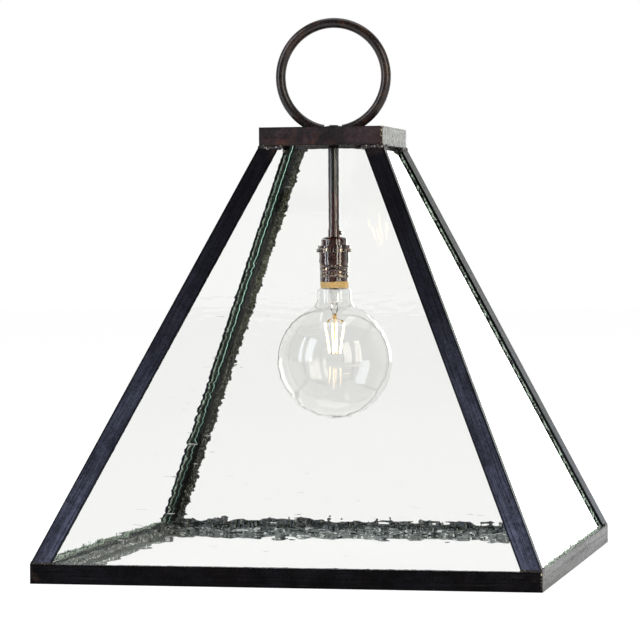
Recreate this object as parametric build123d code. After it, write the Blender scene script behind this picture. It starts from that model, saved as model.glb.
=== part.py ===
from build123d import *
from math import atan2, cos, hypot, pi, radians, sin, sqrt, tan
import os

# A square pyramid lantern hung from a ring: a welded frame of steel angle with four
# panes inside it, open underneath, and one large filament globe on a stem.
# The origin is the middle of the open base, +Z is up and the front faces -Y.

# Driving dimensions, in millimetres

# Frame
base_side = 530.0
cap_side = 135.0
cap_bottom_z = 452.0
base_bar_height = 20.0
cap_band_height = 20.0
steel_thickness = 3.0
base_flange_width = 20.0
post_leg_width = 20.0
angle_root_radius = 3.0
angle_toe_radius = 1.2
cap_plate_thickness = 3.0
plate_hole_clearance = 0.15

# Hanging ring
ring_bore = 106.0
ring_bar = 11.0
ring_foot_rise = 3.5
ring_gap = 19.0

# Panes, the sealant behind the posts and the tabs that hold the panes at the top
pane_thickness = 3.0
pane_toe_gap = 0.28
pane_side_margin = 8.0
pane_seat_clearance = 0.3
pane_top_in_cap = 10.0
bead_end_margin = 1.2
foot_bead_drop = 4.0
foot_bead_end_margin = 15.0
tab_width = 16.0
tab_thickness = 1.0
tab_reach = 9.0
tab_pane_gap = 0.3

# Stem and its fittings
nipple_outer = 9.7
nipple_bore = 7.0
nipple_below_plate = 16.0
lock_nut_across_flats = 14.3
lock_nut_height = 3.0
lock_nut_bevel = 0.8
cord_bush_bore = 5.5
cord_bush_flange = 9.4
cord_bush_flange_height = 1.0
cord_bush_length = 8.0
washer_outer = 17.0
washer_thickness = 1.2
stem_outer = 12.0
thread_fit = 0.05
stem_length = 105.3
joint_nipple_length = 24.0

# Lampholder
hub_outer = 13.2
hub_height = 8.0
dome_outer = 28.0
dome_height = 10.0
dome_wall = 1.2
rim_outer = 35.5
rim_height = 3.0
shade_ring_outer = 38.2
shade_ring_height = 4.2
shade_ring_gap = 0.2
shade_ring_fit = 0.08
knurl_count = 36
knurl_radius = 0.9
shell_outer = 32.8
shell_bore = 29.6
shell_length = 36.2
shell_plain_length = 16.0
shell_groove = 2.0
shell_groove_depth = 0.7
shell_thread_outer = 31.9
shell_thread_depth = 0.55
shell_thread_pitch = 3.6
shell_thread_turns = 4
sleeve_lip_outer = 30.8
sleeve_lip_height = 6.4
sleeve_bore = 28.0
screw_shell_outer = 27.7
screw_shell_bore = 26.5
screw_shell_inset = 2.0
block_outer = 27.6
block_top_gap = 0.7
block_floor = 5.5
contact_width = 6.0
contact_thickness = 0.6
contact_gap = 0.3
contact_margin = 1.2
set_screw_shank = 3.0
set_screw_head = 4.4
set_screw_head_height = 2.4
terminal_screw_head = 5.0
terminal_screw_height = 2.4
terminal_screw_shank = 3.0
terminal_screw_reach = 3.0
terminal_inset = 4.2
terminal_clearance = 0.6
screw_slot_depth = 0.8
screw_slot_width = 0.9

# Lamp
globe_diameter = 125.0
globe_wall = 0.9
neck_outer = 37.2
neck_length = 10.6
neck_blend = 13.0
shoulder_radius = 4.0
lamp_lip_gap = 0.4
throat_fit = 0.1
lamp_cap_outer = 26.1
lamp_cap_wall = 0.5
lamp_cap_skirt = 5.0
lamp_thread_depth = 0.7
lamp_thread_pitch = 3.62
lamp_thread_turns = 5
lamp_crown_height = 2.9
lamp_crown_outer = 21.0
lamp_insulator_height = 3.0
lamp_insulator_top = 12.4
lamp_tip_outer = 9.4
lamp_tip_height = 1.4
lamp_tip_round = 1.1
mount_wall = 0.9
mount_tube_outer = 9.0
mount_flare_height = 11.0
mount_tube_length = 16.0
mount_taper = 6.0
mount_post_outer = 4.0
mount_post_length = 4.5
filament_count = 4
filament_diameter = 2.0
filament_top_drop = 4.6
filament_rise = 34.0
filament_top_spread = 10.9
filament_bottom_spread = 5.6
support_wire = 0.7
support_hub = 3.6
support_hub_height = 1.6

# Worked-out places

half_base = base_side / 2
half_cap = cap_side / 2
run = half_base - half_cap
rise = cap_bottom_z - base_bar_height
face_slope = hypot(rise, run)
lean = atan2(run, rise)
edge_splay = atan2(run, face_slope)
cap_top_z = cap_bottom_z + cap_band_height
plate_bottom_z = cap_top_z - cap_plate_thickness
ring_centre_z = cap_top_z + ring_foot_rise + ring_bore / 2

washer_bottom_z = plate_bottom_z - washer_thickness
stem_bottom_z = washer_bottom_z - stem_length
hub_bottom_z = stem_bottom_z - hub_height
dome_bottom_z = hub_bottom_z - dome_height
rim_bottom_z = dome_bottom_z - rim_height
shell_bottom_z = rim_bottom_z - shell_length
lip_bottom_z = shell_bottom_z - sleeve_lip_height
shoulder_z = lip_bottom_z - lamp_lip_gap
lamp_thread_z = shoulder_z + lamp_cap_skirt
lamp_crown_z = lamp_thread_z + lamp_thread_pitch * lamp_thread_turns
lamp_cap_top_z = lamp_crown_z + lamp_crown_height
lamp_tip_z = lamp_cap_top_z + lamp_insulator_height + lamp_tip_height
block_bottom_z = lamp_tip_z + contact_gap + contact_thickness
block_top_z = rim_bottom_z - block_top_gap
pocket_floor_z = block_bottom_z + block_floor

reach = 2 * base_side
turn_of_side = {"right": 0, "back": 90, "left": 180, "front": 270}
turn_of_corner = {"back_right": 0, "back_left": 90, "front_left": 180, "front_right": 270}

os.makedirs("parts", exist_ok=True)


def save(name, shape):
    """Writes one sub-part under its own name."""
    shape.label = name
    export_step(shape, f"parts/{name}.step")


def group(solids):
    """Like pieces that stay separate solids but share one node."""
    return Compound(children=[solid for piece in solids for solid in piece.solids()])


def turned(*curves):
    """Solid of revolution about Z from a closed half outline in radius and height."""
    outline = Curve() + list(curves)
    return revolve(Plane.XZ * make_face(outline.edges()), Axis.Z)


def turned_points(*points):
    """The same for an outline of straight lines only."""
    return revolve(Plane.XZ * make_face(Polyline(*points, close=True)), Axis.Z)


def layer(low_z, high_z):
    """A wide slab between two heights, for trimming slanted pieces level."""
    slab = Box(reach, reach, high_z - low_z, align=(Align.CENTER, Align.CENTER, Align.MIN))
    return Pos(0, 0, low_z) * slab


def bar(radius, start, end):
    """A round bar between two points."""
    direction = Vector(end) - Vector(start)
    return extrude(Plane(start, z_dir=direction) * Circle(radius), direction.length)


# Angle stock and flat bars

def angle_section(leg_x, leg_y, thickness):
    """Rolled angle seen end on: heel at the origin, legs along +X and +Y."""
    corners = [(0, 0), (leg_x, 0), (leg_x, thickness), (thickness, thickness)]
    section = make_face(Polyline(*corners, (thickness, leg_y), (0, leg_y), close=True))
    root = section.vertices().sort_by_distance((thickness, thickness))[0]
    section = fillet(root, angle_root_radius)
    toe_x = section.vertices().sort_by_distance((leg_x, thickness))[0]
    toe_y = section.vertices().sort_by_distance((thickness, leg_y))[0]
    return fillet([toe_x, toe_y], angle_toe_radius)


def side_wedge():
    """The quarter of the plan that belongs to the +X side, for mitred corners."""
    plan = make_face(Polyline((0, 0), (reach, -reach), (reach, reach), close=True))
    return Pos(0, 0, -reach / 2) * extrude(plan, reach * 2)


def base_bar():
    """Angle of the base on the +X side, its flange turned in at the bottom."""
    heel = Plane((half_base, -half_base, 0), x_dir=(-1, 0, 0), z_dir=(0, 1, 0))
    section = angle_section(base_flange_width, base_bar_height, steel_thickness)
    return extrude(heel * section, base_side) & side_wedge()


def cap_band():
    """Flat bar of the cap on the +X side."""
    blank = Box(steel_thickness, cap_side, cap_band_height, align=(Align.MAX, Align.CENTER, Align.MIN))
    return Pos(half_cap, 0, cap_bottom_z) * blank & side_wedge()


def cap_plate():
    """Top plate inside the bands, with the hole for the threaded nipple."""
    side = cap_side - 2 * steel_thickness
    plate = Pos(0, 0, plate_bottom_z) * extrude(Rectangle(side, side), cap_plate_thickness)
    hole_radius = nipple_outer / 2 + plate_hole_clearance
    return plate - Pos(0, 0, plate_bottom_z) * extrude(Circle(hole_radius), cap_plate_thickness)


# Corner posts stand on the slanted edges of the pyramid. The two faces meet there at more
# than a right angle, so each leg of the square angle stock turns a little inwards.

corner_edge = Vector(-run, -run, rise).normalized()
corner_inward = Vector(-1, -1, 0) - corner_edge * Vector(-1, -1, 0).dot(corner_edge)
corner_inward = corner_inward.normalized()
corner_across = corner_edge.cross(corner_inward)
leg_one = (corner_inward - corner_across).normalized()
corner_plane = Plane((half_base, half_base, base_bar_height), x_dir=leg_one, z_dir=corner_edge)
right_face_inward = Vector(-cos(lean), 0, -sin(lean))
back_face_inward = Vector(0, -cos(lean), -sin(lean))
face_angle = 180 - right_face_inward.get_angle(back_face_inward)
leg_turn = radians(face_angle / 2 - 45)
pane_depth = (steel_thickness + pane_toe_gap) * cos(leg_turn) + post_leg_width * sin(leg_turn)


def along_post(section):
    """Runs a section along the post's edge and trims both ends level."""
    length = hypot(rise, run, run)
    spare = post_leg_width
    blank = extrude(corner_plane.offset(-spare) * section, length + 2 * spare)
    return blank & layer(base_bar_height, cap_bottom_z)


def corner_post():
    """Post at the +X +Y corner."""
    return along_post(angle_section(post_leg_width, post_leg_width, steel_thickness))


def pane_line(x):
    """Height of the pane's outer face over one leg's outside, across the post."""
    return (pane_depth - x * sin(leg_turn)) / cos(leg_turn)


def post_beads():
    """Two strips of sealant between the legs of the +X +Y post and the panes."""
    start = pane_side_margin * cos(leg_turn) + pane_depth * sin(leg_turn)
    end = post_leg_width - bead_end_margin
    inner = steel_thickness
    outline = [(start, inner), (end, inner), (end, pane_line(end)), (start, pane_line(start))]
    swapped = [(y, x) for x, y in outline]
    return [along_post(make_face(Polyline(*points, close=True))) for points in (outline, swapped)]


# Panes

pane_foot_x = half_base - steel_thickness - pane_seat_clearance
pane_origin = Vector(half_base, 0, base_bar_height) + right_face_inward * pane_depth
pane_foot = -(pane_foot_x - pane_origin.X) / sin(lean)
pane_head = (cap_bottom_z + pane_top_in_cap - pane_origin.Z) / cos(lean)
pane_plane = Plane(pane_origin, x_dir=(0, 1, 0), z_dir=-right_face_inward)


def pane_half_width(height):
    """Half the pane's width at a height measured up its slope."""
    return half_base - height * tan(edge_splay) - pane_side_margin / cos(edge_splay)


def pane():
    """Glass on the +X side: it slides down behind the posts until the base bar stops it."""
    foot, head = pane_half_width(pane_foot), pane_half_width(pane_head)
    outline = Polyline((-foot, pane_foot), (foot, pane_foot), (head, pane_head), (-head, pane_head), close=True)
    return extrude(pane_plane * make_face(outline), -pane_thickness)


def across(height, depth):
    """Point on the +X side's middle plane at a height up the slope and a depth into the pane."""
    up = Vector(-sin(lean), 0, cos(lean))
    point = pane_origin + up * height + right_face_inward * depth
    return point.X, point.Z


def foot_bead():
    """Strip of sealant under the lower edge of the +X pane."""
    outer, inner = across(pane_foot, 0), across(pane_foot, pane_thickness)
    wall = half_base - steel_thickness
    outline = [(wall, outer[1]), outer, inner, (inner[0] + tab_thickness, inner[1] - foot_bead_drop / 2)]
    outline.append((wall, outer[1] - foot_bead_drop))
    section = Plane.XZ * make_face(Polyline(*outline, close=True))
    return extrude(section, half_base - foot_bead_end_margin, both=True)


def pane_tab():
    """Bent strip under the cap plate that keeps the top of the +X pane from tipping in."""
    low_z = cap_bottom_z + pane_top_in_cap / 2
    face_x, face_z = across(pane_head, pane_thickness + tab_pane_gap)
    up_x, up_z = -sin(lean), cos(lean)

    def on_face(height, back):
        step = (height - face_z) / up_z
        return face_x + up_x * step - back / cos(lean), height

    top = plate_bottom_z
    bend = top - tab_thickness
    outline = [on_face(low_z, 0), on_face(top, 0), (on_face(top, 0)[0] - tab_reach, top)]
    outline += [(on_face(top, 0)[0] - tab_reach, bend), on_face(bend, tab_thickness)]
    outline.append(on_face(low_z, tab_thickness))
    section = Plane.XZ * make_face(Polyline(*outline, close=True))
    return extrude(section, tab_width / 2, both=True)


# Ring

def ring():
    """Round bar bent to a ring, cut level where it stands on the cap and open round the nut."""
    hoop = Pos(0, 0, ring_centre_z) * Rot(90, 0, 0) * Torus(ring_bore / 2 + ring_bar / 2, ring_bar / 2)
    foot = Pos(0, 0, cap_top_z) * Box(ring_gap, ring_bar * 2, ring_bore / 2)
    return hoop - foot - layer(cap_top_z - ring_bore, cap_top_z)


# Stem and fittings

def threaded_nipple():
    low_z = plate_bottom_z - nipple_below_plate
    outer, bore = nipple_outer / 2, nipple_bore / 2
    high_z = cap_top_z + lock_nut_height
    return turned_points((bore, low_z), (outer, low_z), (outer, high_z), (bore, high_z))


def lock_nut():
    """Hexagon nut on the cap plate, bevelled where its corners meet the top."""
    round_blank = Cylinder(lock_nut_across_flats / sqrt(3), lock_nut_height)
    round_blank = chamfer(round_blank.edges().sort_by(Axis.Z)[-1], lock_nut_bevel)
    hexagon = RegularPolygon(lock_nut_across_flats / 2, 6, major_radius=False)
    hexagon -= Circle(nipple_outer / 2 + thread_fit)
    nut = extrude(hexagon, lock_nut_height / 2, both=True) & round_blank
    return Pos(0, 0, cap_top_z + lock_nut_height / 2) * nut


def cord_bush():
    """Plastic bush that lines the nipple's mouth, where the supply cord enters."""
    seat = cap_top_z + lock_nut_height
    top, low = seat + cord_bush_flange_height, seat + cord_bush_flange_height - cord_bush_length
    bore, plug, flange = cord_bush_bore / 2, nipple_bore / 2 - thread_fit, cord_bush_flange / 2
    return turned_points((bore, low), (plug, low), (plug, seat), (flange, seat), (flange, top), (bore, top))


def lock_washer():
    hole = nipple_outer / 2 + plate_hole_clearance
    disc = extrude(Circle(washer_outer / 2) - Circle(hole), washer_thickness)
    return Pos(0, 0, washer_bottom_z) * disc


def stem():
    bore, outer = nipple_outer / 2 + thread_fit, stem_outer / 2
    return turned_points(
        (bore, stem_bottom_z), (outer, stem_bottom_z), (outer, washer_bottom_z), (bore, washer_bottom_z)
    )


def joint_nipple():
    """Short threaded tube that joins the stem to the lampholder's hub."""
    bore, outer = nipple_bore / 2, nipple_outer / 2
    high_z = stem_bottom_z + joint_nipple_length / 2
    low_z = stem_bottom_z - hub_height
    return turned_points((bore, low_z), (outer, low_z), (outer, high_z), (bore, high_z))


# Lampholder

def socket_cap():
    """Turned cap: hub, rounded dome and flat rim, hollow inside, tapped for the set screw."""
    bore, hub, dome, rim = nipple_outer / 2 + thread_fit, hub_outer / 2, dome_outer / 2, rim_outer / 2
    shoulder = dome - hub
    knee_z = hub_bottom_z - shoulder / 2
    inside = dome - dome_wall
    cap = turned(
        Line((bore, hub_bottom_z - dome_wall), (bore, stem_bottom_z)),
        Line((bore, stem_bottom_z), (hub, stem_bottom_z)),
        Line((hub, stem_bottom_z), (hub, hub_bottom_z)),
        EllipticalCenterArc((hub, knee_z), shoulder, shoulder / 2, start_angle=0, arc_size=90),
        Line((dome, knee_z), (dome, dome_bottom_z)),
        Line((dome, dome_bottom_z), (rim, dome_bottom_z)),
        Line((rim, dome_bottom_z), (rim, rim_bottom_z)),
        Line((rim, rim_bottom_z), (inside, rim_bottom_z)),
        Line((inside, rim_bottom_z), (inside, knee_z)),
        Line((inside, knee_z), (bore, hub_bottom_z - dome_wall)),
    )
    hole = Circle(set_screw_shank / 2 + thread_fit)
    return cap - extrude(set_screw_plane * hole, hub_outer)


def rolled_thread(crest, depth, pitch, turns, start_z):
    """Half outline of a rolled thread going up from start_z, roots and crests as arcs."""
    middle = crest - depth / 2
    curves = []
    for turn in range(turns):
        low = start_z + turn * pitch
        half_way = low + pitch / 2
        high = low + pitch
        curves.append(ThreePointArc((middle, low), (crest - depth, low + pitch / 4), (middle, half_way)))
        curves.append(ThreePointArc((middle, half_way), (crest, high - pitch / 4), (middle, high)))
    return curves


def socket_shell():
    """Outer shell: plain skirt, a groove, then a rolled thread down to the mouth."""
    plain, bore = shell_outer / 2, shell_bore / 2
    groove_top = rim_bottom_z - shell_plain_length
    groove = plain - shell_groove_depth
    thread_top = groove_top - shell_groove
    thread_bottom = thread_top - shell_thread_pitch * shell_thread_turns
    middle = (shell_thread_outer - shell_thread_depth) / 2
    thread = rolled_thread(
        shell_thread_outer / 2, shell_thread_depth, shell_thread_pitch, shell_thread_turns, thread_bottom
    )
    return turned(
        Line((bore, shell_bottom_z), (middle, shell_bottom_z)),
        Line((middle, shell_bottom_z), (middle, thread_bottom)),
        *thread,
        Line((middle, thread_top), (groove, thread_top)),
        Line((groove, thread_top), (groove, groove_top)),
        Line((groove, groove_top), (plain, groove_top)),
        Line((plain, groove_top), (plain, rim_bottom_z)),
        Line((plain, rim_bottom_z), (bore, rim_bottom_z)),
        Line((bore, rim_bottom_z), (bore, shell_bottom_z)),
    )


def insulating_sleeve():
    """Fibre liner between the outer shell and the live screw shell, with its lip below."""
    bore, plug, lip = sleeve_bore / 2, shell_bore / 2 - thread_fit, sleeve_lip_outer / 2
    return turned_points(
        (bore, lip_bottom_z), (lip, lip_bottom_z), (lip, shell_bottom_z), (plug, shell_bottom_z),
        (plug, rim_bottom_z), (bore, rim_bottom_z),
    )


def screw_shell():
    """Live brass sleeve that takes the lamp's cap, hung from the moulded block."""
    low_z = lip_bottom_z + screw_shell_inset
    bore, outer = screw_shell_bore / 2, screw_shell_outer / 2
    return turned_points((bore, low_z), (outer, low_z), (outer, block_bottom_z), (bore, block_bottom_z))


def terminal_places():
    """The two terminals stand on the floors of the block's pockets, one each side."""
    start = block_outer / 2 - terminal_inset
    return [Rot(0, 0, turn) * Pos(start, 0, pocket_floor_z) for turn in (0, 180)]


def holder_block():
    """Moulded body in the top of the shell that carries the contact and the terminals."""
    block = Pos(0, 0, block_bottom_z) * extrude(Circle(block_outer / 2), block_top_z - block_bottom_z)
    width = terminal_screw_head + 2 * terminal_clearance
    depth = block_top_z - pocket_floor_z
    pocket = Box(block_outer, width, depth, align=(Align.MIN, Align.CENTER, Align.MIN))
    hole = Cylinder(terminal_screw_shank / 2 + thread_fit, 2 * terminal_screw_reach)
    for place in terminal_places():
        block -= place * Pos(-width / 2, 0, 0) * pocket
        block -= place * hole
    return block


def terminal_screw():
    """Cheese-head screw with its slot, seated at the origin."""
    head = extrude(Circle(terminal_screw_head / 2), terminal_screw_height)
    head -= Pos(0, 0, terminal_screw_height) * Box(terminal_screw_head, screw_slot_width, 2 * screw_slot_depth)
    return head + extrude(Circle(terminal_screw_shank / 2), -terminal_screw_reach)


def centre_contact():
    """Springy brass tongue under the block, over the lamp's tip."""
    length = screw_shell_bore - 2 * contact_margin
    strip = RectangleRounded(length, contact_width, contact_width / 3)
    return Pos(0, 0, block_bottom_z) * extrude(strip, -contact_thickness)


def shade_ring():
    """Knurled ring on the outer shell, turned up against the cap's rim."""
    outer = shade_ring_outer / 2
    section = Circle(outer) - Circle(shell_outer / 2 + shade_ring_fit)
    section -= PolarLocations(outer + knurl_radius / 2, knurl_count) * Circle(knurl_radius)
    high_z = rim_bottom_z - shade_ring_gap
    return Pos(0, 0, high_z) * extrude(section, -shade_ring_height)


set_screw_plane = Plane((0, 0, hub_bottom_z + hub_height / 2), x_dir=(0, 1, 0), z_dir=(1, 0, 0))


def set_screw():
    """Slotted screw that bears on the nipple and locks the hub on it."""
    shank = extrude(set_screw_plane.offset(nipple_outer / 2) * Circle(set_screw_shank / 2), hub_outer / 2)
    seat = set_screw_plane.offset(hub_outer / 2)
    head = extrude(seat * Circle(set_screw_head / 2), set_screw_head_height)
    slot = seat.offset(set_screw_head_height) * Box(set_screw_head, screw_slot_width, 2 * screw_slot_depth)
    return head + (shank - extrude(seat * Circle(set_screw_head), hub_outer)) - slot


# Lamp

globe_radius = globe_diameter / 2
flare_rise = sqrt((globe_radius + neck_blend) ** 2 - (neck_outer / 2 + neck_blend) ** 2)
globe_centre_z = shoulder_z - neck_length - flare_rise
globe_bottom_z = globe_centre_z - globe_radius
lamp_cap_bore = lamp_cap_outer / 2 - lamp_thread_depth - lamp_cap_wall
throat_outer = lamp_cap_bore - throat_fit


def globe_outline(inset):
    """Blown half outline from the bottom of the globe up into the cap, moved in by a wall."""
    ball, neck, throat = globe_radius - inset, neck_outer / 2 - inset, throat_outer - inset
    blend, shoulder, top_z = neck_blend + inset, shoulder_radius - inset, shoulder_z - inset
    blend_x = neck + blend
    blend_rise = sqrt((ball + blend) ** 2 - blend_x ** 2)
    blend_z = globe_centre_z + blend_rise
    share = ball / (ball + blend)
    tilt = atan2(blend_rise, blend_x)
    bottom, side = (0, globe_centre_z - ball), (ball, globe_centre_z)
    meet = (blend_x * share, globe_centre_z + blend_rise * share)
    below = (ball * cos(pi / 4), globe_centre_z - ball * sin(pi / 4))
    above = (ball * cos(tilt / 2), globe_centre_z + ball * sin(tilt / 2))
    hollow = (blend_x - blend * cos(tilt / 2), blend_z - blend * sin(tilt / 2))
    knee = (neck - shoulder * (1 - cos(pi / 4)), top_z - shoulder * (1 - sin(pi / 4)))
    return [
        ThreePointArc(bottom, below, side),
        ThreePointArc(side, above, meet),
        ThreePointArc(meet, hollow, (neck, blend_z)),
        Line((neck, blend_z), (neck, top_z - shoulder)),
        ThreePointArc((neck, top_z - shoulder), knee, (neck - shoulder, top_z)),
        Line((neck - shoulder, top_z), (throat, top_z)),
        Line((throat, top_z), (throat, lamp_thread_z)),
    ]


def bulb_globe():
    """Clear glass globe with its neck, one wall thick, open where the mount is sealed in."""
    outside, inside = globe_outline(0), globe_outline(globe_wall)
    mouth = Line((throat_outer, lamp_thread_z), (throat_outer - globe_wall, lamp_thread_z))
    foot = Line((0, globe_bottom_z), (0, globe_bottom_z + globe_wall))
    return turned(*outside, mouth, *inside, foot)


def bulb_screw_base():
    """Pressed cap of the lamp: skirt on the glass shoulder, rolled thread and crown."""
    bore, crown = lamp_cap_bore, lamp_crown_outer / 2
    middle = (lamp_cap_outer - lamp_thread_depth) / 2
    thread = rolled_thread(
        lamp_cap_outer / 2, lamp_thread_depth, lamp_thread_pitch, lamp_thread_turns, lamp_thread_z
    )
    return turned(
        Line((bore, shoulder_z), (middle, shoulder_z)),
        Line((middle, shoulder_z), (middle, lamp_thread_z)),
        *thread,
        Line((middle, lamp_crown_z), (crown, lamp_cap_top_z)),
        Line((crown, lamp_cap_top_z), (crown - lamp_cap_wall, lamp_cap_top_z)),
        Line((crown - lamp_cap_wall, lamp_cap_top_z), (bore, lamp_crown_z)),
        Line((bore, lamp_crown_z), (bore, shoulder_z)),
    )


def bulb_insulator():
    """Black glass between the cap and the tip contact."""
    low, high = lamp_crown_outer / 2, lamp_insulator_top / 2
    top_z = lamp_cap_top_z + lamp_insulator_height
    return turned_points((0, lamp_cap_top_z), (low, lamp_cap_top_z), (high, top_z), (0, top_z))


def bulb_tip_contact():
    """Solder button, rounded where the centre contact presses on it."""
    button = extrude(Circle(lamp_tip_outer / 2), lamp_tip_height)
    button = fillet(button.edges().sort_by(Axis.Z)[-1], lamp_tip_round)
    return Pos(0, 0, lamp_cap_top_z + lamp_insulator_height) * button


def bulb_stem():
    """Glass mount: a hollow flare sealed in the throat, a tube, a pinch and a solid post."""
    flare, tube, post = throat_outer - globe_wall - thread_fit, mount_tube_outer / 2, mount_post_outer / 2
    tube_z = lamp_thread_z - mount_flare_height
    pinch_z = tube_z - mount_tube_length
    post_z = pinch_z - mount_taper
    return turned_points(
        (flare, lamp_thread_z), (tube, tube_z), (tube, pinch_z), (post, post_z),
        (post, mount_tip_z), (0, mount_tip_z), (0, pinch_z),
        (tube - mount_wall, pinch_z + mount_taper), (tube - mount_wall, tube_z),
        (flare - mount_wall, lamp_thread_z),
    )


mount_tip_z = lamp_thread_z - mount_flare_height - mount_tube_length - mount_taper - mount_post_length
filament_top_z = mount_tip_z - filament_top_drop
filament_bottom_z = filament_top_z - filament_rise
filament_turns = [360 / filament_count * index for index in range(filament_count)]


def filaments():
    """Light-emitting rods that lean in towards the bottom of the lamp."""
    top = (filament_top_spread, 0, filament_top_z)
    bottom = (filament_bottom_spread, 0, filament_bottom_z)
    return [Rot(0, 0, turn) * bar(filament_diameter / 2, top, bottom) for turn in filament_turns]


def filament_wires():
    """Centre rod with a hub at each end and a wire from each hub to every filament."""
    low_z = filament_bottom_z - support_hub_height / 2
    wires = bar(support_wire / 2, (0, 0, low_z), (0, 0, mount_tip_z))
    hub = Cylinder(support_hub / 2, support_hub_height)
    wires += Pos(0, 0, filament_bottom_z) * hub
    wires += Pos(0, 0, mount_tip_z - support_hub_height / 2) * hub
    upper = bar(support_wire / 2, (0, 0, mount_tip_z - support_hub_height / 2), (filament_top_spread, 0, filament_top_z))
    lower = bar(support_wire / 2, (0, 0, filament_bottom_z), (filament_bottom_spread, 0, filament_bottom_z))
    for turn in filament_turns:
        wires += Rot(0, 0, turn) * upper
        wires += Rot(0, 0, turn) * lower
    for rod in filaments():
        wires -= rod
    return wires


# The assembly

side_pieces = {"base_bar": base_bar(), "cap_band": cap_band(), "glass_pane": pane()}
for name, piece in side_pieces.items():
    for side, turn in turn_of_side.items():
        save(f"{name}_{side}", Rot(0, 0, turn) * piece)

post = corner_post()
for corner, turn in turn_of_corner.items():
    save(f"corner_post_{corner}", Rot(0, 0, turn) * post)

bead_blanks = [*post_beads(), foot_bead()]
save("glazing_beads", group(Rot(0, 0, turn) * bead for turn in turn_of_side.values() for bead in bead_blanks))
save("pane_tabs", group(Rot(0, 0, turn) * pane_tab() for turn in turn_of_side.values()))

save("cap_plate", cap_plate())
save("ring", ring())
save("threaded_nipple", threaded_nipple())
save("top_lock_nut", lock_nut())
save("cord_bush", cord_bush())
save("lock_washer", lock_washer())
save("stem", stem())
save("joint_nipple", joint_nipple())

save("socket_cap", socket_cap())
save("set_screw", set_screw())
save("shade_ring", shade_ring())
save("socket_shell", socket_shell())
save("insulating_sleeve", insulating_sleeve())
save("holder_block", holder_block())
save("screw_shell", screw_shell())
save("centre_contact", centre_contact())
save("terminal_screws", group(place * terminal_screw() for place in terminal_places()))

save("bulb_screw_base", bulb_screw_base())
save("bulb_insulator", bulb_insulator())
save("bulb_tip_contact", bulb_tip_contact())
save("bulb_globe", bulb_globe())
save("bulb_stem", bulb_stem())
save("bulb_filaments", group(filaments()))
save("bulb_wires", filament_wires())
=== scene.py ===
import random
from math import pi, radians, sqrt

import bmesh
import bpy
from mathutils import Matrix, Vector
from mathutils.noise import fractal


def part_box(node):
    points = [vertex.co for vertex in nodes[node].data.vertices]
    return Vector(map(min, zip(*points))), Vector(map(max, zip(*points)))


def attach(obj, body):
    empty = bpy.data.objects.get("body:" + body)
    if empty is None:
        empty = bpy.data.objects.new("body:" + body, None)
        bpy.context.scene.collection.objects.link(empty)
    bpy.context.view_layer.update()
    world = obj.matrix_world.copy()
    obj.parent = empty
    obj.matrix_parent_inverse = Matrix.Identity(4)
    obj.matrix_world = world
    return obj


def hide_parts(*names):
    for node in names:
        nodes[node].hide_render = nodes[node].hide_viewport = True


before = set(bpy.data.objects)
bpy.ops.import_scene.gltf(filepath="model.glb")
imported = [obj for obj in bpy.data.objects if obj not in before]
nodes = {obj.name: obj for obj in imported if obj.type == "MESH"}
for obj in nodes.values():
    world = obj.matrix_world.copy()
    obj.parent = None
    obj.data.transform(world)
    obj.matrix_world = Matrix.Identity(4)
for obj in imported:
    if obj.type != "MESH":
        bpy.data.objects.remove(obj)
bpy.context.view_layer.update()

# The camera stands a little right of the front face, low, with a long lens, as the photograph was taken.
# Its place, turn and lens were worked out from the corners of the frame.
camera_place = (0.6988, -3.2756, 0.3432)
camera_yaw, camera_dip, camera_roll = radians(12.319), radians(1.355), radians(-0.373)
camera_data = bpy.data.cameras.new("camera")
camera_data.lens = 172.915
camera_data.sensor_width = 36.0
camera_data.clip_end = 60.0
camera = bpy.data.objects.new("camera", camera_data)
camera.matrix_world = (
    Matrix.Translation(camera_place)
    @ Matrix.Rotation(camera_yaw, 4, "Z")
    @ Matrix.Rotation(pi / 2 - camera_dip, 4, "X")
    @ Matrix.Rotation(camera_roll, 4, "Z")
)
bpy.context.scene.collection.objects.link(camera)
bpy.context.scene.camera = camera
bpy.context.scene.view_settings.view_transform = "Standard"


# The studio is one pale floor that runs out to nothing, a white sky and four soft boxes: a cool one at the
# left, a warm one at the right, one overhead and one low behind. In gloss the room in front of the object is
# dimmer, and the floor isn't seen from below.
def add_node(tree, kind, inputs=(), **settings):
    """A node with its settings made and its sockets set to a value or linked to another socket."""
    node = tree.nodes.new(kind)
    for key, value in settings.items():
        setattr(node, key, value)
    for key, value in dict(inputs).items():
        if isinstance(value, bpy.types.NodeSocket):
            tree.links.new(value, node.inputs[key])
        else:
            node.inputs[key].default_value = value
    return node


def maths(tree, operation, first, second=0.0, third=0.0):
    """One sum of values, as a socket."""
    return add_node(tree, "ShaderNodeMath", {0: first, 1: second, 2: third}, operation=operation).outputs[0]


def seen_as_white(tree):
    """1 for rays from the camera, off gloss or through glass, which see the studio as white."""
    path = add_node(tree, "ShaderNodeLightPath")
    seen = maths(tree, "MAXIMUM", path.outputs["Is Camera Ray"], path.outputs["Is Glossy Ray"])
    return maths(tree, "MAXIMUM", seen, path.outputs["Is Transmission Ray"])


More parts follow.
